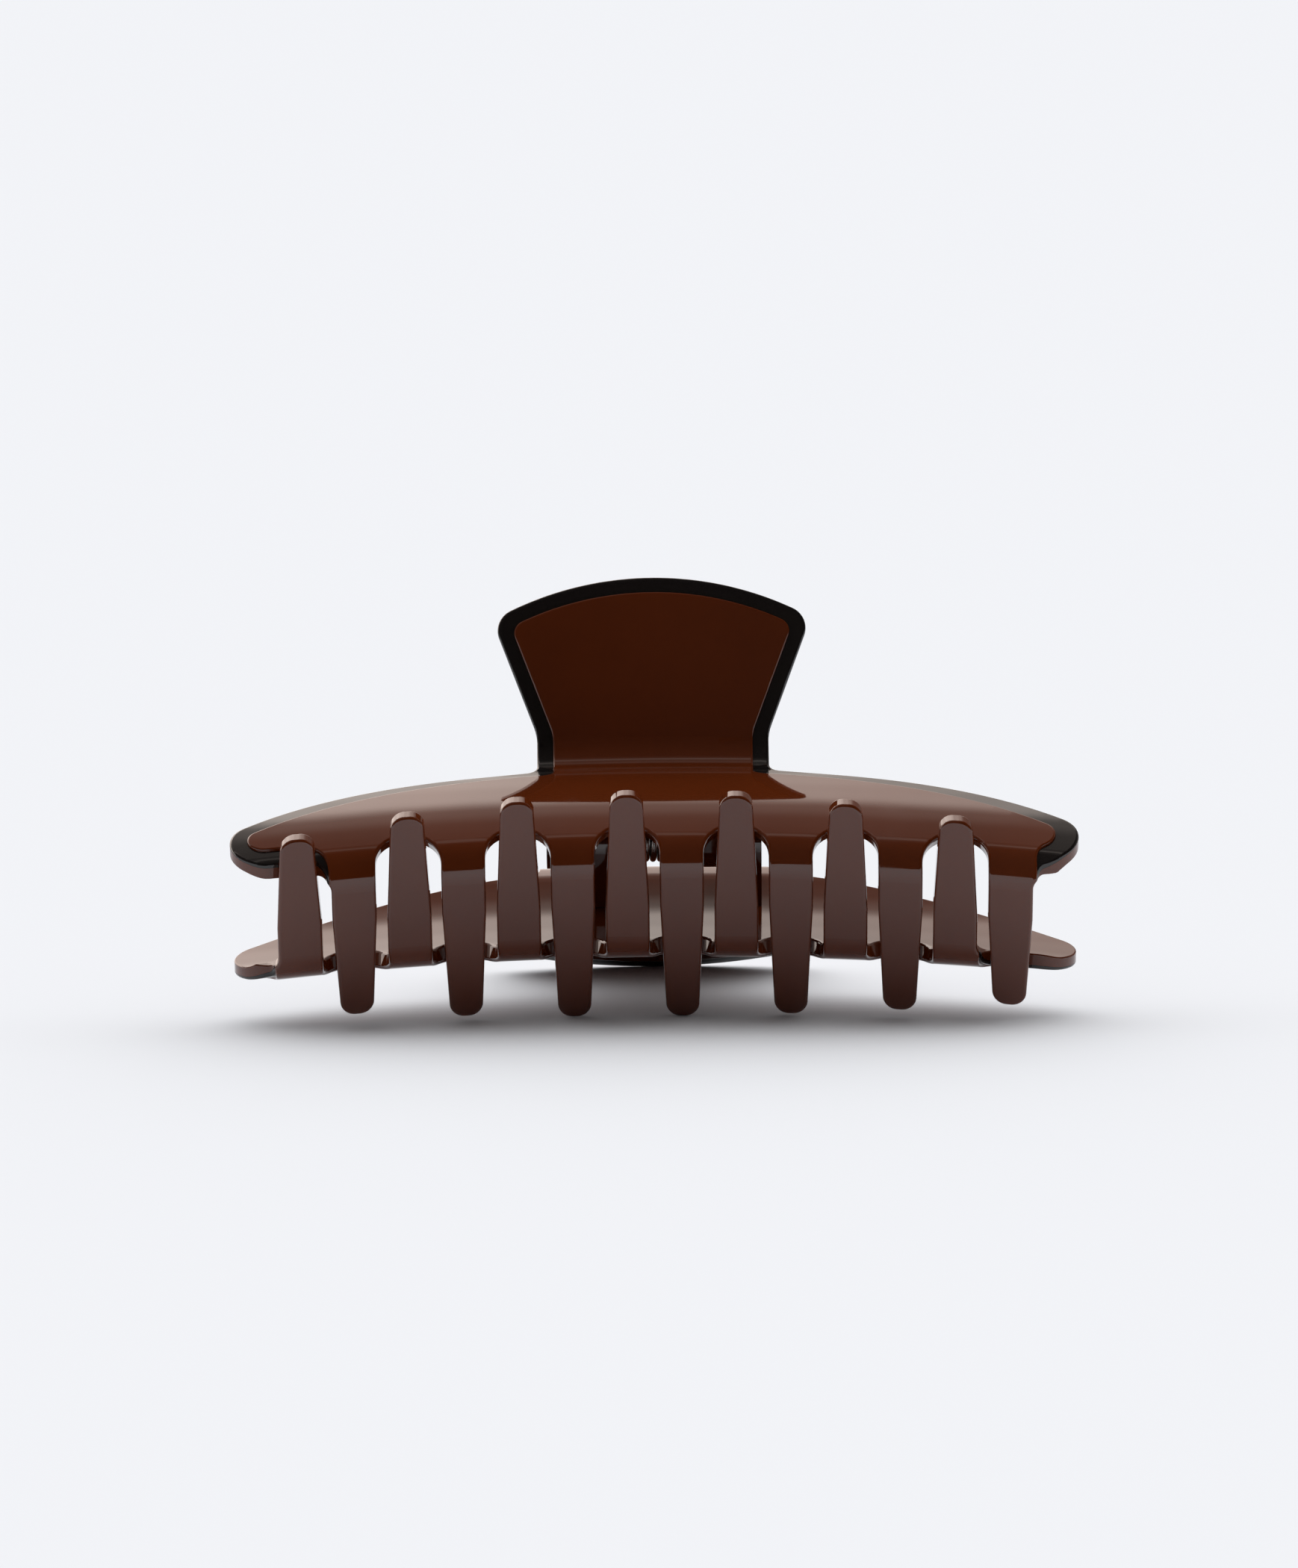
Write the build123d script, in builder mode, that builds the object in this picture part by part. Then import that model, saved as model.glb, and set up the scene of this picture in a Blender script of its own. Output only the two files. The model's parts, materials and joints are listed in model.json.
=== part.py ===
# Two-jaw hair clip: identical jaws, black inlaid rims, hinge pin and torsion spring.
import os
from math import asin, atan2, cos, degrees, pi, radians, sin, sqrt

from build123d import *

os.makedirs("parts", exist_ok=True)

# Driving dimensions in millimetres, measured in the frame of the closed clip:
# X along the clip, Y from the toothed front to the hinge, Z across the two jaws.
TOOTH_PITCH = 14.15
TOOTH_COUNT = 7
TOOTH_ROOT_WIDTH = 5.7
TOOTH_TIP_WIDTH = 4.2
TIP_REACH = 16.15
TIP_REACH_FALL = 0.0017
WALL = 2.2
BOW_RADIUS = 227.3
STRAIGHT_HEIGHT = 4.24
FRONT_CORNER_RADIUS = 5.0
DOME_RADIUS = 38.1
DOME_START_SLOPE = 14.0
NECK_START_SLOPE = 14.1
NECK_RADIUS = 5.0
TAB_SLOPE = 58.5
TAB_HEIGHT = 21.4
TAB_TOP_RADIUS = 43.0
TAB_HALF_WIDTH = 21.5
TAB_SHOULDER = 16.4
FLARE_START = 0.3
NECK_HALF_WIDTH = 15.4
BACK_EDGE_RADIUS = 82.0
BACK_EDGE_Y = 24.65
LEFT_END_RADIUS = 4.4
RIGHT_END_RADIUS = 5.0
HALF_LENGTH = 55.0
BAND_WIDTH = 2.0
BODY_BAND_WIDTH = 2.3
BACK_BAND_EXTRA = 0.9
RIGHT_BAND_SHIFT = 0.7
BAND_STEP = 0.4
BAND_THICKNESS = 0.4
GAP = 0.02
SLOT_TOP = 9.93
LOBE_UNDERSIDE = 6.0
EDGE_ROUND = 0.4
FACE_ROUND = 0.25
INNER_ROUND = 0.2
BAND_ROUND = 0.35
HINGE_Y = 19.0
PIN_RADIUS = 1.0
PIN_CLEARANCE = 0.05
LUG_RADIUS = 3.4
LUG_TOP = 8.4
LUG_INNER = (4.8, 9.2)
LUG_OUTER = (9.4, 14.2)
COIL_RADIUS = 2.2
WIRE_RADIUS = 0.45
COIL_TURNS = 7


def turn(angle):
    return cos(radians(angle)), sin(radians(angle))


# Centres of the arcs that make up the cross-section of a jaw.
CORNER_CENTRE = (FRONT_CORNER_RADIUS, STRAIGHT_HEIGHT)
dome_shift = DOME_RADIUS - FRONT_CORNER_RADIUS
DOME_CENTRE = (
    CORNER_CENTRE[0] + dome_shift * turn(DOME_START_SLOPE)[1],
    CORNER_CENTRE[1] - dome_shift * turn(DOME_START_SLOPE)[0],
)
NECK_CENTRE = (
    DOME_CENTRE[0] + (DOME_RADIUS + NECK_RADIUS) * turn(NECK_START_SLOPE)[1],
    DOME_CENTRE[1] + (DOME_RADIUS + NECK_RADIUS) * turn(NECK_START_SLOPE)[0],
)


def on_circle(centre, radius, slope):
    """Point of an arc whose outward normal leans back from the vertical by slope."""
    return (centre[0] + radius * sin(radians(slope)), centre[1] + radius * cos(radians(slope)))


def depth_line(depth, tab_length):
    """Points of the cross-section at one depth below the raised face."""
    corner = FRONT_CORNER_RADIUS - depth
    dome = DOME_RADIUS - depth
    neck = NECK_RADIUS + depth
    start = (depth, -TIP_REACH - 3)
    crease = (depth, STRAIGHT_HEIGHT)
    corner_mid = on_circle(CORNER_CENTRE, corner, -(90 + DOME_START_SLOPE) / 2)
    corner_end = on_circle(CORNER_CENTRE, corner, -DOME_START_SLOPE)
    dome_mid = on_circle(DOME_CENTRE, dome, (NECK_START_SLOPE - DOME_START_SLOPE) / 2)
    dome_end = on_circle(DOME_CENTRE, dome, NECK_START_SLOPE)
    half = (NECK_START_SLOPE - TAB_SLOPE) / 2
    neck_mid = on_circle(NECK_CENTRE, -neck, half)
    neck_end = on_circle(NECK_CENTRE, -neck, -TAB_SLOPE)
    tab_end = (
        neck_end[0] + tab_length * turn(TAB_SLOPE)[0],
        neck_end[1] + tab_length * turn(TAB_SLOPE)[1],
    )
    return start, crease, corner_mid, corner_end, dome_mid, dome_end, neck_mid, neck_end, tab_end


def shell(outer, inner):
    """Jaw wall between two depths, swept round the bow of the clip."""
    a = depth_line(outer, TAB_HEIGHT + 4)
    b = depth_line(inner, TAB_HEIGHT + 4)
    with BuildPart() as wall:
        with BuildSketch(Plane.YZ) as section:
            with BuildLine():
                Line(a[0], a[1])
                ThreePointArc(a[1], a[2], a[3])
                ThreePointArc(a[3], a[4], a[5])
                ThreePointArc(a[5], a[6], a[7])
                Line(a[7], a[8])
                Line(a[8], b[8])
                Line(b[8], b[7])
                ThreePointArc(b[7], b[6], b[5])
                ThreePointArc(b[5], b[4], b[3])
                ThreePointArc(b[3], b[2], b[1])
                Line(b[1], b[0])
                Line(b[0], a[0])
            make_face()
        revolve(axis=Axis((0, -BOW_RADIUS, 0), (0, 0, 1)), revolution_arc=31)
    return wall.part.rotate(Axis((0, -BOW_RADIUS, 0), (0, 0, 1)), -15.5)


def bow(x):
    """Depth of the toothed front at x; the ends come forward."""
    return sqrt(BOW_RADIUS**2 - x**2) - BOW_RADIUS


tooth_x = [TOOTH_PITCH * (k - 3 + 0.25) for k in range(TOOTH_COUNT)]
row_left = tooth_x[0] - TOOTH_ROOT_WIDTH / 2
row_right = tooth_x[-1] + TOOTH_ROOT_WIDTH / 2
front_left = row_left - 0.3
front_right = row_right + 0.5
BACK_CENTRE_Y = BACK_EDGE_Y - BACK_EDGE_RADIUS


def body_outline(inset, back_extra, right_shift):
    """Plan outline of the body, drawn with its straight-through front edge."""
    back_top = BACK_EDGE_Y - inset - back_extra
    halves = []
    for sign, end_radius, shift in ((-1, LEFT_END_RADIUS, 0), (1, RIGHT_END_RADIUS, right_shift)):
        x = sign * (HALF_LENGTH - end_radius)
        y = BACK_CENTRE_Y + sqrt((BACK_EDGE_RADIUS - end_radius) ** 2 - x**2)
        x -= shift
        r = end_radius - inset
        # Back arc that is level in the middle and runs into the rounded end.
        drop = y - back_top
        far = (x**2 + drop**2 - r**2) / (-2 * (drop + r))
        centre_y = back_top - far
        back = (x * far / (far - r), centre_y + (y - centre_y) * far / (far - r))
        half_angle = asin(back[0] / far) / 2
        back_mid = (far * sin(half_angle), centre_y + far * cos(half_angle))
        front_len = sqrt(x**2 + (y + BOW_RADIUS) ** 2)
        front = (x - r * x / front_len, y - r * (y + BOW_RADIUS) / front_len)
        halves.append((back_mid, back, (x + sign * r, y), front, front_len - r))
    left, right = halves
    top = (0, back_top)
    front_mid = (0, (left[4] + right[4]) / 2 - BOW_RADIUS)
    ThreePointArc(left[1], left[0], top)
    ThreePointArc(top, right[0], right[1])
    ThreePointArc(right[1], right[2], right[3])
    ThreePointArc(right[3], front_mid, left[3])
    ThreePointArc(left[3], left[2], left[1])


def body_prism(inset, back_extra, right_shift, neck_round, root_rounds, neck_half):
    with BuildPart() as prism:
        with BuildSketch(Plane.XY.offset(-25)) as plan:
            with BuildLine():
                body_outline(inset, back_extra, right_shift)
            make_face()
            with Locations(((front_left + front_right) / 2, -5.5)):
                Rectangle(front_right - front_left, 17)
            with Locations((0, 3)):
                Rectangle(64, 16)
            with Locations((0, 23.2)):
                Rectangle(2 * neck_half, 12)
            neck = [
                v for v in plan.vertices() if abs(abs(v.X) - neck_half) < 0.05 and v.Y < 28
            ]
            fillet(neck, neck_round)
            for x, rounding in zip((front_left, front_right), root_rounds):
                root = [v for v in plan.vertices() if abs(v.X - x) < 0.05 and v.Y > -12]
                fillet(root, rounding)
        extrude(amount=39)
    return prism.part


neck_end = depth_line(0, 0)[7]
tab_plane = Plane(
    origin=(0, neck_end[0], neck_end[1]),
    x_dir=(1, 0, 0),
    z_dir=(0, -turn(TAB_SLOPE)[1], turn(TAB_SLOPE)[0]),
)
flare = (TAB_HALF_WIDTH - NECK_HALF_WIDTH) / (TAB_SHOULDER - FLARE_START)


def tab_prism(inset, corner_round):
    lean = inset * sqrt(1 + flare**2)
    top = TAB_HEIGHT - inset
    radius = TAB_TOP_RADIUS - inset
    half = NECK_HALF_WIDTH - lean
    shoulder = TAB_SHOULDER
    for _ in range(20):
        wide = half + flare * (shoulder - FLARE_START)
        shoulder = top - radius + sqrt(radius**2 - wide**2)
    with BuildPart() as prism:
        with BuildSketch(tab_plane) as face:
            with BuildLine():
                ThreePointArc((-wide, shoulder), (0, top), (wide, shoulder))
                Polyline(
                    (wide, shoulder), (half, FLARE_START), (half, -1),
                    (-half, -1), (-half, FLARE_START), (-wide, shoulder),
                )
            make_face()
            fillet(face.vertices().filter_by(lambda v: abs(v.Y - FLARE_START) < 0.01), 6)
            fillet(face.vertices().filter_by(lambda v: abs(abs(v.X) - wide) < 0.01), corner_round)
        extrude(amount=1.5)
        extrude(face.sketch, amount=-4.5)
    return prism.part


def keep_region(band, body_band, neck_round, root_rounds, corner_round):
    neck_half = NECK_HALF_WIDTH - band * sqrt(1 + flare**2)
    back_extra = BACK_BAND_EXTRA if body_band else 0
    right_shift = RIGHT_BAND_SHIFT if body_band else 0
    body = body_prism(body_band, back_extra, right_shift, neck_round, root_rounds, neck_half)
    return body + tab_prism(band, corner_round)


def tip_cutter():
    """Everything between and beyond the teeth on the far side of the middle plane."""
    with BuildPart() as cutter:
        with BuildSketch(Plane.XZ.offset(14)) as face:
            with Locations((0, -12.5)):
                Rectangle(124, 25)
            for x in tooth_x:
                reach = TIP_REACH - TIP_REACH_FALL * x**2
                root = TOOTH_ROOT_WIDTH / 2
                tip = TOOTH_TIP_WIDTH / 2
                with BuildSketch(Plane.XZ.offset(14), mode=Mode.PRIVATE) as tooth:
                    with BuildLine():
                        Polyline(
                            (x - root, 1), (x - root, 0), (x - tip, -reach), (x + tip, -reach),
                            (x + root, 0), (x + root, 1), (x - root, 1),
                        )
                    make_face()
                    ends = tooth.vertices().filter_by(lambda v: abs(v.Y + reach) < 0.01)
                    fillet(ends, tip * 0.9)
                add(tooth.sketch, mode=Mode.SUBTRACT)
        extrude(amount=-26)
    return cutter.part


def slot_cutters():
    """Round-topped slots through the front corner, cut square to the corner."""
    c = sqrt(0.5)
    half = (TOOTH_PITCH - TOOTH_ROOT_WIDTH) / 2
    with BuildPart() as cutter:
        plane = Plane(origin=(0, 0, 0), x_dir=(1, 0, 0), z_dir=(0, -c, c)).offset(-3.5)
        with BuildSketch(plane) as face:
            for k in range(TOOTH_COUNT - 1):
                x = (tooth_x[k] + tooth_x[k + 1]) / 2
                top = SLOT_TOP + c * bow(x)
                low = -1.2 + c * bow(x)
                with Locations((x, (top + low) / 2)):
                    Rectangle(2 * half, top - low)
            tops = [v for v in face.vertices() if v.Y > 4]
            fillet(tops, half - 0.25)
        extrude(amount=16)
    return cutter.part


def lobe_cutters():
    with BuildPart() as cutter:
        with BuildSketch(Plane.XZ.offset(14)) as face:
            with Locations((row_left - 10, (LOBE_UNDERSIDE - 1) / 2)):
                Rectangle(20, LOBE_UNDERSIDE + 1)
            with Locations((row_right + 10, (LOBE_UNDERSIDE - 1) / 2)):
                Rectangle(20, LOBE_UNDERSIDE + 1)
            roots = [
                v
                for v in face.vertices()
                if v.Y > 1 and min(abs(v.X - row_left), abs(v.X - row_right)) < 0.01
            ]
            fillet(roots, 1.6)
        extrude(amount=-34)
    return cutter.part


def lug(x_range, bore):
    """Hinge lug hanging from the inside of the dome down to the pin."""
    with BuildPart() as piece:
        with BuildSketch(Plane.YZ.offset(x_range[0])):
            with Locations((HINGE_Y, 0)):
                Circle(LUG_RADIUS)
            with Locations((HINGE_Y, LUG_TOP / 2)):
                Rectangle(2 * LUG_RADIUS, LUG_TOP)
            with Locations((HINGE_Y, 0)):
                Circle(bore, mode=Mode.SUBTRACT)
        extrude(amount=x_range[1] - x_range[0])
    return piece.part


def depth_of(point):
    """Depth of a point below the raised outer skin of the jaw."""
    y = sqrt(point.X**2 + (point.Y + BOW_RADIUS) ** 2) - BOW_RADIUS
    z = point.Z
    if z <= STRAIGHT_HEIGHT and y < 6:
        return y
    corner_y = y - CORNER_CENTRE[0]
    corner_z = z - CORNER_CENTRE[1]
    if corner_y < 0 and degrees(atan2(corner_z, -corner_y)) < 90 - DOME_START_SLOPE:
        return FRONT_CORNER_RADIUS - sqrt(corner_y**2 + corner_z**2)
    dome_y = y - DOME_CENTRE[0]
    dome_z = z - DOME_CENTRE[1]
    if degrees(atan2(dome_y, dome_z)) < NECK_START_SLOPE:
        return DOME_RADIUS - sqrt(dome_y**2 + dome_z**2)
    neck_y = y - NECK_CENTRE[0]
    neck_z = NECK_CENTRE[1] - z
    if neck_z > 0 and degrees(atan2(neck_y, neck_z)) < TAB_SLOPE:
        return sqrt(neck_y**2 + neck_z**2) - NECK_RADIUS
    rise = turn(TAB_SLOPE)
    return (y - neck_end[0]) * rise[1] - (z - neck_end[1]) * rise[0]


def skin_edges(shape, depth):
    """Edges that lie in one skin, without the seams between its curved faces."""
    found = []
    for edge in shape.edges():
        points = [edge @ t for t in (0, 0.25, 0.5, 0.75, 1)]
        level = max(p.Z for p in points) - min(p.Z for p in points) < 0.002
        seam = edge.geom_type == GeomType.CIRCLE and level and abs(points[0].X - points[-1].X) > 3
        if not seam and max(abs(depth_of(p) - depth) for p in points) < 0.05:
            found.append(edge)
    return found


def outline_edges(shape, depth, outline):
    """Edges in one skin of a shape that still follow an outline drawn before the cuts."""
    return [
        e for e in skin_edges(shape, depth) if min(o.distance_to(e @ 0.5) for o in outline) < 0.005
    ]


def build_jaw(bore):
    """One jaw moulding and its black inlaid band."""
    outer_region = keep_region(0, 0, 2.0, (2.2, 1.0), 3.0)
    face_region = keep_region(BAND_WIDTH, BODY_BAND_WIDTH, 2.0, (3.5, 2.4), 1.8)
    gap_region = keep_region(BAND_WIDTH - GAP, BODY_BAND_WIDTH - GAP, 2.0, (3.5, 2.4), 1.8)
    cuts = [tip_cutter(), slot_cutters(), lobe_cutters()]

    # The raised brown face and the lower wall under the band make one moulding.
    with BuildPart() as raised:
        add(shell(0, WALL))
        add(face_region, mode=Mode.INTERSECT)
    with BuildPart() as wall:
        add(shell(BAND_STEP + BAND_THICKNESS + GAP, WALL))
        add(outer_region, mode=Mode.INTERSECT)
    face_outline = [e for e in skin_edges(raised.part, 0) if (e @ 0.5).Z > LOBE_UNDERSIDE]
    inner_outline = [e for e in skin_edges(wall.part, WALL) if (e @ 0.5).Z > LOBE_UNDERSIDE]
    with BuildPart() as jaw:
        add(wall.part)
        add(raised.part)
        for cut in cuts:
            add(cut, mode=Mode.SUBTRACT)
        teeth = [e for e in skin_edges(jaw.part, 0) if (e @ 0.5).Z < STRAIGHT_HEIGHT + 0.05]
        teeth += [e for e in skin_edges(jaw.part, WALL) if (e @ 0.5).Z < STRAIGHT_HEIGHT + 0.05]
        fillet(teeth, EDGE_ROUND)
        fillet(outline_edges(jaw.part, 0, face_outline), FACE_ROUND)
        fillet(outline_edges(jaw.part, WALL, inner_outline), INNER_ROUND)
        add(lug(LUG_INNER, bore))
        add(lug((-LUG_OUTER[1], -LUG_OUTER[0]), bore))

    # The band lies in the step round the face; only its outer edge is rounded.
    with BuildPart() as whole_band:
        add(shell(BAND_STEP, BAND_STEP + BAND_THICKNESS))
        add(outer_region, mode=Mode.INTERSECT)
    outline = skin_edges(whole_band.part, BAND_STEP)
    with BuildPart() as border:
        add(whole_band.part)
        add(gap_region, mode=Mode.SUBTRACT)
        for cut in cuts:
            add(cut, mode=Mode.SUBTRACT)
        fillet(outline_edges(border.part, BAND_STEP, outline), BAND_ROUND)
    return jaw.part, border.part


def build_pin():
    with BuildPart() as pin:
        with BuildSketch(Plane.YZ.offset(-LUG_OUTER[1])):
            with Locations((HINGE_Y, 0)):
                Circle(PIN_RADIUS)
        extrude(amount=2 * LUG_OUTER[1])
        chamfer(pin.edges(), 0.2)
    return pin.part


def build_spring():
    """Coil round the pin, with a leg pressing on the inside of each tab."""
    rise = turn(TAB_SLOPE)
    deep = WALL + WIRE_RADIUS + 0.08
    rest_y = neck_end[0] + deep * rise[1] - HINGE_Y
    rest_z = neck_end[1] - deep * rise[0]
    reach = sqrt(rest_y**2 + rest_z**2)
    lean = atan2(rest_z, rest_y) + asin(COIL_RADIUS / reach)
    start = lean - pi / 2
    turns = COIL_TURNS - start / pi
    pitch = 2.1 * WIRE_RADIUS
    length = turns * pitch
    with BuildPart() as coil:
        with BuildLine() as path:
            Helix(pitch, length, COIL_RADIUS, center=(0, 0, 0), direction=(0, 0, 1), lefthand=True)
        with BuildSketch(Plane(origin=path.line @ 0, z_dir=path.line % 0)):
            Circle(WIRE_RADIUS)
        sweep(path=path.line, is_frenet=True)
    # The helix starts on its own X axis; lay it along the pin and turn it to the leg.
    laid = Plane(origin=(0, 0, 0), x_dir=(0, 1, 0), z_dir=(1, 0, 0))
    placed = (laid * coil.part).rotate(Axis.X, degrees(start)).translate((-length / 2, HINGE_Y, 0))
    upper_start = (-length / 2, HINGE_Y + COIL_RADIUS * cos(start), COIL_RADIUS * sin(start))
    lower_start = (length / 2, upper_start[1], -upper_start[2])
    upper_end = (-length / 2, HINGE_Y + rest_y, rest_z)
    lower_end = (length / 2, HINGE_Y + rest_y, -rest_z)
    with BuildPart() as spring:
        add(placed)
        for first, last in ((upper_start, upper_end), (lower_start, lower_end)):
            along = Vector(*last) - Vector(*first)
            with BuildSketch(Plane(origin=first, z_dir=along)):
                Circle(WIRE_RADIUS)
            extrude(amount=along.length)
            with Locations(first):
                Sphere(WIRE_RADIUS)
    return spring.part


def at_rest(shape, tilt):
    return shape.rotate(Axis.X, tilt)


upper_jaw, upper_border = build_jaw(PIN_RADIUS + PIN_CLEARANCE)
fixed_jaw, fixed_border = build_jaw(PIN_RADIUS)
lower_jaw = fixed_jaw.rotate(Axis.Y, 180)
lower_border = fixed_border.rotate(Axis.Y, 180)
pieces = {
    "lower_jaw": lower_jaw,
    "lower_border": lower_border,
    "upper_jaw": upper_jaw,
    "upper_border": upper_border,
    "hinge_pin": build_pin(),
    "torsion_spring": build_spring(),
}

# The closed clip rests on the lower tab and on the tips of the upper jaw's teeth.
tilt = degrees(atan2(28.9 - TIP_REACH, 38.4))
for _ in range(4):
    tab_low = at_rest(pieces["lower_border"], tilt).bounding_box().min.Z
    tip_low = at_rest(pieces["upper_jaw"], tilt).bounding_box().min.Z
    tilt += degrees((tip_low - tab_low) / 38.4)
rested = {name: at_rest(shape, tilt) for name, shape in pieces.items()}
boxes = [shape.bounding_box() for shape in rested.values()]
shift = (
    0,
    -(min(b.min.Y for b in boxes) + max(b.max.Y for b in boxes)) / 2,
    -min(b.min.Z for b in boxes),
)
for name, shape in rested.items():
    placed = shape.translate(shift)
    placed = placed.solids()[0]
    placed.label = name
    export_step(placed, f"parts/{name}.step")

hinge_y = HINGE_Y * cos(radians(tilt)) + shift[1]
hinge_z = HINGE_Y * sin(radians(tilt)) + shift[2]
print("tilt", round(tilt, 3), "shift", [round(v, 4) for v in shift])
print("hinge centre", round(hinge_y, 4), round(hinge_z, 4))
print("volumes", {name: round(shape.volume, 2) for name, shape in pieces.items()})
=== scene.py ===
# %% [markdown]
# A hair clip of two bowed plastic jaws. The imported model is loaded first: its solids are the frame
# that every visible piece is fitted to.

# %% Load the imported clip
import json
from math import asin, atan2, cos, pi, radians, sin, sqrt

import bmesh
import bpy
from mathutils import Matrix, Vector


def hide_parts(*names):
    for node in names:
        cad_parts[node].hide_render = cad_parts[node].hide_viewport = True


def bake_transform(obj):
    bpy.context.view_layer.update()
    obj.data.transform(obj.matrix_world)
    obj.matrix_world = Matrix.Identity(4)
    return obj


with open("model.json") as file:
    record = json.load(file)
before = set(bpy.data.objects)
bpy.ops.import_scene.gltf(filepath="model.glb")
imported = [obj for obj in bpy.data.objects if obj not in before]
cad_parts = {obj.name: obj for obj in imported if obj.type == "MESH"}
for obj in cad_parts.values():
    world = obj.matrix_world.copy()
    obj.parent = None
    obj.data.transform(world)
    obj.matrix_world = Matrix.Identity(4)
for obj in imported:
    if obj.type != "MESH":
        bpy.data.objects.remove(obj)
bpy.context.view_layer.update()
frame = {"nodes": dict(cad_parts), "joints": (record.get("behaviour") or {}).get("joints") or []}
nodes = frame["nodes"]
scene = bpy.context.scene
print("nodes:", {name: len(node.data.polygons) for name, node in nodes.items()})

# %% [markdown]
# The clip lies tilted: its lower finger tab and the tips of its upper teeth touch the table. The
# frame of the closed clip, in which both jaws are mirror-like about one plane, is therefore turned
# by this tilt about X and shifted. The camera and the spring below are placed in that frame,
# because the clip's own shape is simple there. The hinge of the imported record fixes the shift.

# %% Frame of the closed clip
MM = 0.001
REST_TILT = radians(18.532)
HINGE_DEPTH = 19 * MM
hinge_at = Vector(frame["joints"][0]["pos_m"])
tilted = Matrix.Rotation(REST_TILT, 4, "X")
clip_to_row = Matrix.Translation(hinge_at - tilted @ Vector((0, HINGE_DEPTH, 0))) @ tilted
print("hinge at", [round(v / MM, 3) for v in hinge_at], "mm")

# %% [markdown]
# The photograph looks down on the middle plane of the clip by 26 degrees from 850 mm away, which
# is about 7.5 degrees above the table once the clip lies tilted. A long lens keeps the two ends
# the same size, as they are in the photograph. The focal length is given in pixels of the
# photograph's height, so the frame is right at any render size.

# %% Camera
PHOTO_HEIGHT = 2100
SENSOR_HEIGHT = 36
look_down = radians(26.0)
roll = radians(0.635)
camera_distance = 0.850
aim_right = 0.752 * MM
aim_up = -16.02 * MM
focal_pixels = 8757
axes = Matrix((
    (1, 0, 0),
    (0, sin(look_down), cos(look_down)),
    (0, cos(look_down), -sin(look_down)),
))
axes = Matrix.Rotation(roll, 3, "Z") @ axes
right, up, ahead = (Vector(row) for row in axes)
eye = axes.transposed() @ Vector((-aim_right, -aim_up, -camera_distance))
facing = Matrix((right, up, -ahead)).transposed().to_4x4()
camera_data = bpy.data.cameras.new("photo_camera")
camera_data.sensor_fit = "VERTICAL"
camera_data.sensor_height = SENSOR_HEIGHT
camera_data.lens = focal_pixels / PHOTO_HEIGHT * SENSOR_HEIGHT
camera_data.clip_start = 0.01
camera_data.clip_end = 20
camera = bpy.data.objects.new("photo_camera", camera_data)
scene.collection.objects.link(camera)
scene.camera = camera
camera.matrix_world = clip_to_row @ Matrix.Translation(eye) @ facing
print("camera height:", round(camera.matrix_world.translation.z / MM, 1), "mm")

# %% [markdown]
# Every node tree in this file, for the room, the plastics and the spring, is wired with the same
# few helpers. One adds a node with its settings and one feeds a socket with a link or a plain
# value. The others write a line of arithmetic, a grey ramp and a mix of two colours.

# %% Helpers for node trees
def add_node(tree, kind, label, **settings):
    node = tree.nodes.new(kind)
    node.label = label
    for name, value in settings.items():
        setattr(node, name, value)
    return node


def feed(tree, socket, value):
    if isinstance(value, bpy.types.NodeSocket):
        tree.links.new(value, socket)
    else:
        socket.default_value = value


def arithmetic(tree, operation, *values):
    node = add_node(tree, "ShaderNodeMath", operation.lower(), operation=operation)
    for socket, value in zip(node.inputs, values):
        feed(tree, socket, value)
    return node.outputs["Value"]


def ramp(tree, label, source, stops):
    node = add_node(tree, "ShaderNodeValToRGB", label)
    node.color_ramp.interpolation = "EASE"
    while len(node.color_ramp.elements) < len(stops):
        node.color_ramp.elements.new(0.5)
    for element, (place, level) in zip(node.color_ramp.elements, stops):
        element.position = place
        element.color = (level, level, level, 1)
    tree.links.new(source, node.inputs["Fac"])
    return node.outputs["Color"]


def mix_colours(tree, label, factor, first, second):
    node = add_node(tree, "ShaderNodeMix", label, data_type="RGBA")
    feed(tree, node.inputs["Factor"], factor)
    colours = [socket for socket in node.inputs if socket.type == "RGBA"]
    feed(tree, colours[0], first)
    feed(tree, colours[1], second)
    return next(socket for socket in node.outputs if socket.type == "RGBA")


# %% [markdown]
# The picture is taken on a seamless pale table. One wide flat sheet is enough, because the
# camera looks slightly down and never sees its far edge.

# %% Pale table
TABLE_CORNERS = [(-9, -6, 0), (9, -6, 0), (9, 14, 0), (-9, 14, 0)]
TABLE_COLOUR = (0.80, 0.81, 0.84, 1)
table = bmesh.new()
table.faces.new([table.verts.new(corner) for corner in TABLE_CORNERS])
table_mesh = bpy.data.meshes.new("pale_table")
table.to_mesh(table_mesh)
table.free()
table_top = bpy.data.objects.new("pale_table", table_mesh)
scene.collection.objects.link(table_top)

table_paint = bpy.data.materials.new("table_paint")
table_paint.use_nodes = True
paint = table_paint.node_tree.nodes["Principled BSDF"]
paint.inputs["Base Color"].default_value = TABLE_COLOUR
paint.inputs["Roughness"].default_value = 0.9
paint.inputs["Specular IOR Level"].default_value = 0.0
table_mesh.materials.append(table_paint)

# %% [markdown]
# Gloss shows what surrounds it, and the room of the photograph has two faces. Its light comes
# from above and behind the clip, so the front of the clip is dim and its shadow falls towards the
# camera. What a polished surface mirrors is a lit back wall that grows brighter upwards to a lamp
# on the left, then a dark ceiling with one thin bright gap, and a nearly dark side where the
# camera stands. The world shader has one sky for dull surfaces and one for mirrored rays. The
# mirrored sky follows an arc from the back horizon (0) over the zenith (0.5) to the front (1).

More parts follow.
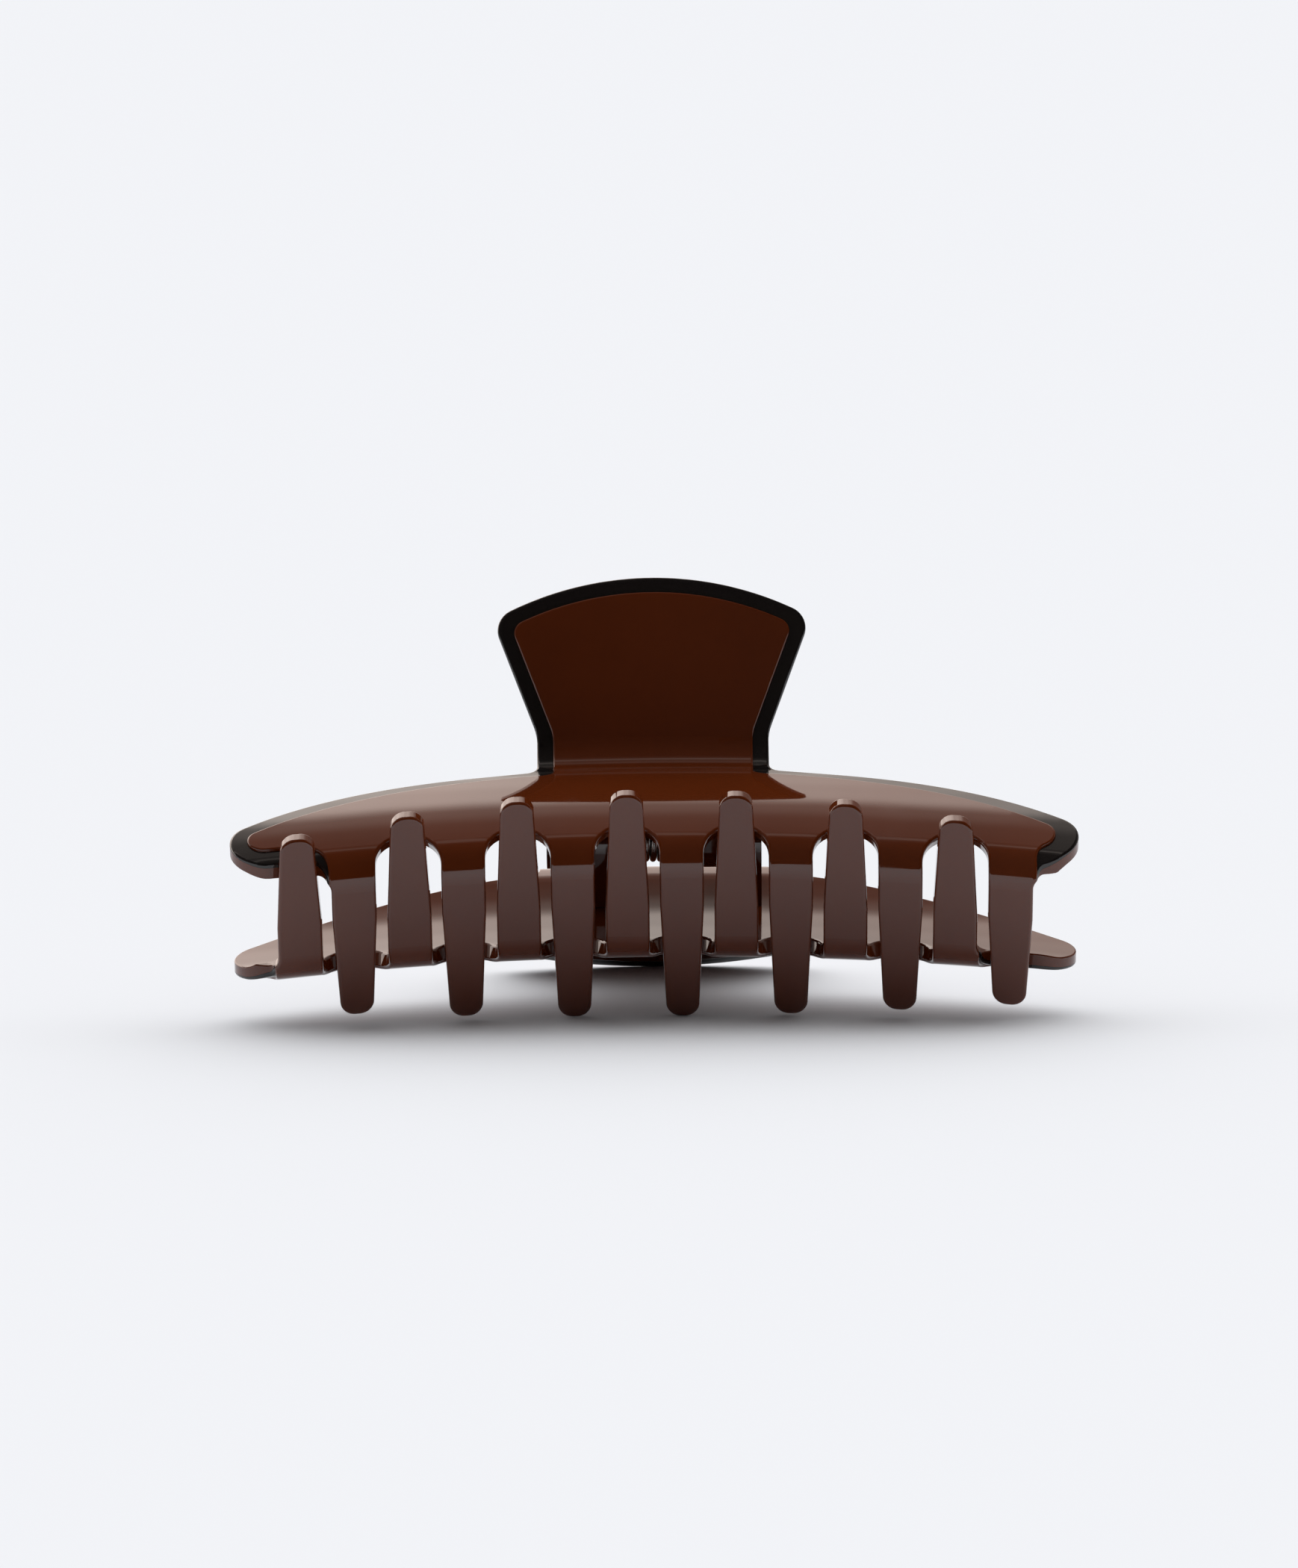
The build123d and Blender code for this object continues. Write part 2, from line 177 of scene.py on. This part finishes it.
# %% Studio room
scene.view_settings.view_transform = "Standard"
world = bpy.data.worlds.new("studio_room")
scene.world = world
world.use_nodes = True
room = world.node_tree
room.nodes.clear()
direction = add_node(room, "ShaderNodeTexCoord", "direction")
split = add_node(room, "ShaderNodeSeparateXYZ", "split")
feed(room, split.inputs["Vector"], direction.outputs["Generated"])
backward = arithmetic(room, "MULTIPLY_ADD", split.outputs["Y"], 0.5, 0.5)
height = split.outputs["Z"]

LIGHT_FILL = 0.05
LIGHT_POWER = 2.0
ABOVE_STOPS = [(0.0, 0.0), (0.5, 1.0)]
BEHIND_STOPS = [(0.28, 0.02), (0.62, 1.0)]
overhead = ramp(room, "light from above", height, ABOVE_STOPS)
from_behind = ramp(room, "light from behind", backward, BEHIND_STOPS)
light = arithmetic(room, "MULTIPLY", overhead, from_behind)
light = arithmetic(room, "MULTIPLY_ADD", light, LIGHT_POWER, LIGHT_FILL)

MIRROR_LEVEL = 4.0
WHITE = (1, 1, 1, 1)
MIRROR_TINT = (1.0, 0.87, 0.79, 1)
ARC_STOPS = [
    (0.0, 0.56), (0.12, 0.56), (0.20, 0.81), (0.26, 1.0), (0.31, 0.31), (0.36, 0.14),
    (0.44, 0.08), (0.47, 0.25), (0.50, 0.05), (0.54, 0.02), (1.0, 0.012),
]
SIDE_STOPS = [(0.30, 1.0), (0.42, 0.77), (0.57, 0.34), (0.68, 0.08)]
arc = arithmetic(room, "ARCTAN2", height, split.outputs["Y"])
arc = arithmetic(room, "DIVIDE", arc, pi)
along_arc = ramp(room, "back wall, lamp, ceiling, front", arc, ARC_STOPS)
sideways = arithmetic(room, "MULTIPLY_ADD", split.outputs["X"], 0.5, 0.5)
lamp_side = ramp(room, "lamp on the left", sideways, SIDE_STOPS)
mirrored = arithmetic(room, "MULTIPLY", along_arc, lamp_side)
mirrored = arithmetic(room, "MULTIPLY", mirrored, MIRROR_LEVEL)

ray_kind = add_node(room, "ShaderNodeLightPath", "ray kind")
by_ray = add_node(room, "ShaderNodeMix", "by ray kind", data_type="FLOAT")
feed(room, by_ray.inputs["Factor"], ray_kind.outputs["Is Glossy Ray"])
feed(room, by_ray.inputs["A"], light)
feed(room, by_ray.inputs["B"], mirrored)
tint = mix_colours(
    room, "tint by ray kind", ray_kind.outputs["Is Glossy Ray"], WHITE, MIRROR_TINT
)
background = add_node(room, "ShaderNodeBackground", "room light")
feed(room, background.inputs["Strength"], by_ray.outputs["Result"])
feed(room, background.inputs["Color"], tint)
world_out = add_node(room, "ShaderNodeOutputWorld", "world")
feed(room, world_out.inputs["Surface"], background.outputs["Background"])
print("room nodes:", len(room.nodes))

# %% [markdown]
# Three effects are shared by the finishes, so each is a shader node group with named inputs.
# Injection moulded plastic is never quite flat: it sinks a little over thick places and keeps
# faint flow waves, which show as soft wobbles in a mirrored edge. Handling leaves hazy patches
# and a few hairlines in the polish. Pigment varies very slightly where the plastic flowed.

# %% Shader groups for moulded plastic
def shader_group(name, inputs, output, output_kind):
    """A node group with float inputs, Object coordinates ready, and one output."""
    tree = bpy.data.node_groups.new(name, "ShaderNodeTree")
    for label, (kind, value) in inputs.items():
        socket = tree.interface.new_socket(label, in_out="INPUT", socket_type=kind)
        socket.default_value = value
    tree.interface.new_socket(output, in_out="OUTPUT", socket_type=output_kind)
    entry = add_node(tree, "NodeGroupInput", "inputs")
    leave = add_node(tree, "NodeGroupOutput", "output")
    place = add_node(tree, "ShaderNodeTexCoord", "place").outputs["Object"]
    return tree, entry.outputs, leave.inputs[0], place


def noise(tree, label, place, scale, detail, roughness=0.5):
    node = add_node(tree, "ShaderNodeTexNoise", label)
    feed(tree, node.inputs["Vector"], place)
    feed(tree, node.inputs["Scale"], scale)
    node.inputs["Detail"].default_value = detail
    node.inputs["Roughness"].default_value = roughness
    return node.outputs["Fac"]


FLOAT = "NodeSocketFloat"
COLOR = "NodeSocketColor"
moulding_waves, given, result, place = shader_group(
    "moulding_waves",
    {"Wave Scale": (FLOAT, 70), "Wave Height": (FLOAT, 1), "Grain Scale": (FLOAT, 900),
     "Grain Height": (FLOAT, 0.02)},
    "Height", FLOAT,
)
waves = noise(moulding_waves, "sink and flow", place, given["Wave Scale"], 1.5)
grain = noise(moulding_waves, "fine grain", place, given["Grain Scale"], 2)
waves = arithmetic(moulding_waves, "MULTIPLY", waves, given["Wave Height"])
grain = arithmetic(moulding_waves, "MULTIPLY", grain, given["Grain Height"])
feed(moulding_waves, result, arithmetic(moulding_waves, "ADD", waves, grain))

handling_marks, given, result, place = shader_group(
    "handling_marks",
    {"Polish": (FLOAT, 0.05), "Haze": (FLOAT, 0.1), "Patch Scale": (FLOAT, 60),
     "Hairline Scale": (FLOAT, 260), "Hairlines": (FLOAT, 0.04)},
    "Roughness", FLOAT,
)
patches = noise(handling_marks, "hazy patches", place, given["Patch Scale"], 3, 0.6)
patches = ramp(handling_marks, "patch edges", patches, [(0.52, 0.0), (0.74, 1.0)])
patches = arithmetic(handling_marks, "MULTIPLY", patches, given["Haze"])
stretch = add_node(handling_marks, "ShaderNodeMapping", "drawn along the clip")
stretch.inputs["Scale"].default_value = (0.04, 1, 1)
feed(handling_marks, stretch.inputs["Vector"], place)
lines = noise(
    handling_marks, "hairlines", stretch.outputs["Vector"], given["Hairline Scale"], 4, 0.7
)
lines = ramp(handling_marks, "thin lines", lines, [(0.60, 0.0), (0.70, 1.0)])
lines = arithmetic(handling_marks, "MULTIPLY", lines, given["Hairlines"])
marks = arithmetic(handling_marks, "ADD", patches, lines)
feed(handling_marks, result, arithmetic(handling_marks, "ADD", marks, given["Polish"]))

pigment_flow, given, result, place = shader_group(
    "pigment_flow",
    {"Base": (COLOR, (0.1, 0.1, 0.1, 1)), "Flow": (COLOR, (0.1, 0.1, 0.1, 1)),
     "Flow Scale": (FLOAT, 45)},
    "Color", COLOR,
)
flow = noise(pigment_flow, "flow", place, given["Flow Scale"], 3, 0.6)
flow = ramp(pigment_flow, "soft flow", flow, [(0.35, 0.0), (0.65, 1.0)])
pigment = mix_colours(pigment_flow, "pigment", flow, given["Base"], given["Flow"])
feed(pigment_flow, result, pigment)
print("groups:", [tree.name for tree in bpy.data.node_groups])

# %% [markdown]
# The jaws are moulded in a deep chocolate brown and polished; the band let into their rims is
# black plastic with the same polish, and the spring and the pin are drawn steel. All three are
# one recipe with other values: a base colour with its flow, a polish with its marks, and waves in
# the surface. Values that are the same all over stay on the shader's own sockets.

# %% Plastics and steel
WAVE_DEPTH = 0.04 * MM
REFRACTION = 1.63


def place_group(tree, group, **values):
    node = add_node(tree, "ShaderNodeGroup", group.name, node_tree=group)
    for name, value in values.items():
        node.inputs[name.replace("_", " ")].default_value = value
    return node.outputs[0]


def finish(name, base, flow, polish, haze, wave_height, metallic=0.0, hairlines=0.03):
    """A glossy material from the three shared groups."""
    made = bpy.data.materials.new(name)
    made.use_nodes = True
    tree = made.node_tree
    shader = tree.nodes["Principled BSDF"]
    colour = place_group(tree, pigment_flow, Base=(*base, 1), Flow=(*flow, 1))
    feed(tree, shader.inputs["Base Color"], colour)
    rough = place_group(tree, handling_marks, Polish=polish, Haze=haze, Hairlines=hairlines)
    feed(tree, shader.inputs["Roughness"], rough)
    bump = add_node(tree, "ShaderNodeBump", "waves")
    bump.inputs["Strength"].default_value = 1.0
    bump.inputs["Distance"].default_value = WAVE_DEPTH
    height = place_group(tree, moulding_waves, Wave_Height=wave_height)
    feed(tree, bump.inputs["Height"], height)
    feed(tree, shader.inputs["Normal"], bump.outputs["Normal"])
    shader.inputs["IOR"].default_value = REFRACTION
    shader.inputs["Metallic"].default_value = metallic
    return made


brown = finish(
    "chocolate_plastic", (0.102, 0.0186, 0.0038), (0.092, 0.0166, 0.0034), 0.05, 0.08, 1.6
)
black = finish(
    "black_inlay", (0.0100, 0.0076, 0.0072), (0.0090, 0.0070, 0.0066), 0.05, 0.07, 1.2
)
steel = finish(
    "spring_steel", (0.48, 0.47, 0.46), (0.42, 0.41, 0.40), 0.22, 0.15, 0.5, metallic=1.0
)
for name, material in (
    ("upper_jaw", brown), ("lower_jaw", brown), ("upper_border", black),
    ("lower_border", black), ("hinge_pin", steel), ("torsion_spring", steel),
):
    mesh = nodes[name].data
    mesh.materials.clear()
    mesh.materials.append(material)

# %% [markdown]
# A torsion spring round the pin presses the two finger tabs apart. Its wire follows one rule: it
# runs on a coil, and before and after the coil it leaves along the tangent as a straight leg. In
# Geometry Nodes the rule is one line of arithmetic on the length along the wire, so a straight
# line of points is bent onto it, and a round profile is swept along. The tree has its sizes as
# named inputs.

# %% Geometry Nodes tree for the spring wire
WIRE_RADIUS = 0.45 * MM
COIL_RADIUS = 2.2 * MM
COIL_TURNS = 7
PATH_POINTS = 420
WIRE_SIDES = 12
WIRE_PITCH = 2.1 * WIRE_RADIUS
LEG_END = Vector((11.098 * MM, 9.886 * MM))
leg_reach = LEG_END.length
leg_length = sqrt(leg_reach**2 - COIL_RADIUS**2)
leave_angle = atan2(LEG_END.y, LEG_END.x) + asin(COIL_RADIUS / leg_reach) - pi / 2
coil_angle = 2 * pi * COIL_TURNS + 2 * leave_angle
coil_length = coil_angle / (2 * pi) * WIRE_PITCH

spring_wire = bpy.data.node_groups.new("spring_wire", "GeometryNodeTree")
spring_wire.interface.new_socket("Geometry", in_out="OUTPUT", socket_type="NodeSocketGeometry")
spring_sizes = {
    "Coil Radius": COIL_RADIUS, "Wire Radius": WIRE_RADIUS, "Coil Length": coil_length,
    "Coil Angle": coil_angle, "First Angle": -leave_angle, "Leg Length": leg_length,
}
socket_ids = {}
for label, value in spring_sizes.items():
    socket = spring_wire.interface.new_socket(label, in_out="INPUT", socket_type=FLOAT)
    socket.default_value = value
    socket_ids[label] = socket.identifier
for label, value in (("Path Points", PATH_POINTS), ("Wire Sides", WIRE_SIDES)):
    socket = spring_wire.interface.new_socket(label, in_out="INPUT", socket_type="NodeSocketInt")
    socket.default_value = value
    socket_ids[label] = socket.identifier

given = add_node(spring_wire, "NodeGroupInput", "sizes").outputs


def rule(operation, *values):
    return arithmetic(spring_wire, operation, *values)


def geometry(kind, label, outlet, **links):
    node = add_node(spring_wire, kind, label)
    for name, value in links.items():
        feed(spring_wire, node.inputs[name.replace("_", " ")], value)
    return node.outputs[outlet]


around = rule("MULTIPLY", given["Coil Radius"], given["Coil Angle"])
coil_wire = rule(
    "SQRT", rule("ADD", rule("POWER", around, 2.0), rule("POWER", given["Coil Length"], 2.0))
)
whole = rule("MULTIPLY_ADD", given["Leg Length"], 2.0, coil_wire)
far_end = geometry("ShaderNodeCombineXYZ", "far end", "Vector", X=whole)
straight = geometry("GeometryNodeCurvePrimitiveLine", "straight wire", "Curve", End=far_end)
points = geometry(
    "GeometryNodeResampleCurve", "points", "Curve", Curve=straight, Count=given["Path Points"]
)
along = geometry("GeometryNodeSplineParameter", "along the wire", "Length")
past_leg = rule("SUBTRACT", along, given["Leg Length"])
on_coil = rule("MINIMUM", rule("MAXIMUM", past_leg, 0.0), coil_wire)
off_coil = rule("SUBTRACT", past_leg, on_coil)
share = rule("DIVIDE", on_coil, coil_wire)
angle = rule("MULTIPLY_ADD", share, given["Coil Angle"], given["First Angle"])
cosine = rule("COSINE", angle)
sine = rule("SINE", angle)
half_coil = rule("MULTIPLY", given["Coil Length"], 0.5)
wire_x = rule("SUBTRACT", half_coil, rule("MULTIPLY", share, given["Coil Length"]))
wire_y = rule(
    "SUBTRACT", rule("MULTIPLY", cosine, given["Coil Radius"]), rule("MULTIPLY", sine, off_coil)
)
wire_z = rule(
    "ADD", rule("MULTIPLY", sine, given["Coil Radius"]), rule("MULTIPLY", cosine, off_coil)
)
bent_place = geometry("ShaderNodeCombineXYZ", "bent place", "Vector", X=wire_x, Y=wire_y, Z=wire_z)
bent = geometry(
    "GeometryNodeSetPosition", "bent wire", "Geometry", Geometry=points, Position=bent_place
)
profile = geometry(
    "GeometryNodeCurvePrimitiveCircle", "round profile", "Curve",
    Resolution=given["Wire Sides"], Radius=given["Wire Radius"],
)
tube = geometry(
    "GeometryNodeCurveToMesh", "wire", "Mesh", Curve=bent, Profile_Curve=profile, Fill_Caps=True
)
smooth = geometry("GeometryNodeSetShadeSmooth", "smooth", "Geometry", Geometry=tube)
single = geometry("GeometryNodeRealizeInstances", "realize", "Geometry", Geometry=smooth)
in_steel = geometry(
    "GeometryNodeSetMaterial", "steel", "Geometry", Geometry=single, Material=steel
)
leave = add_node(spring_wire, "NodeGroupOutput", "wire out")
feed(spring_wire, leave.inputs["Geometry"], in_steel)
print("spring legs:", round(leg_length / MM, 2), "mm, coil:", round(coil_length / MM, 2), "mm")

# %% [markdown]
# The tree's result is turned into a plain mesh and laid on the hinge in place of the imported
# spring. On the real clip, when it opens, the two legs stay with their jaws and the coil winds up
# between them.

# %% Torsion spring
def made_by(tree, values, name):
    """The mesh that a geometry tree makes from nothing, as an object of its own."""
    seed = bpy.data.objects.new(name + "_seed", bpy.data.meshes.new(name + "_seed"))
    scene.collection.objects.link(seed)
    modifier = seed.modifiers.new(name, "NODES")
    modifier.node_group = tree
    for label, value in values.items():
        modifier[socket_ids[label]] = value
    view = bpy.context.evaluated_depsgraph_get()
    mesh = bpy.data.meshes.new_from_object(seed.evaluated_get(view), depsgraph=view)
    mesh.name = name
    seed.modifiers.remove(modifier)
    bpy.data.objects.remove(seed)
    made = bpy.data.objects.new(name, mesh)
    scene.collection.objects.link(made)
    return made


spring = made_by(spring_wire, spring_sizes, "wound_spring")
spring.data.transform(clip_to_row @ Matrix.Translation((0, HINGE_DEPTH, 0)))
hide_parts("torsion_spring")
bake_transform(spring)
spring_box = [round(v / MM, 1) for v in spring.dimensions]
print("spring:", len(spring.data.polygons), "faces, box", spring_box)
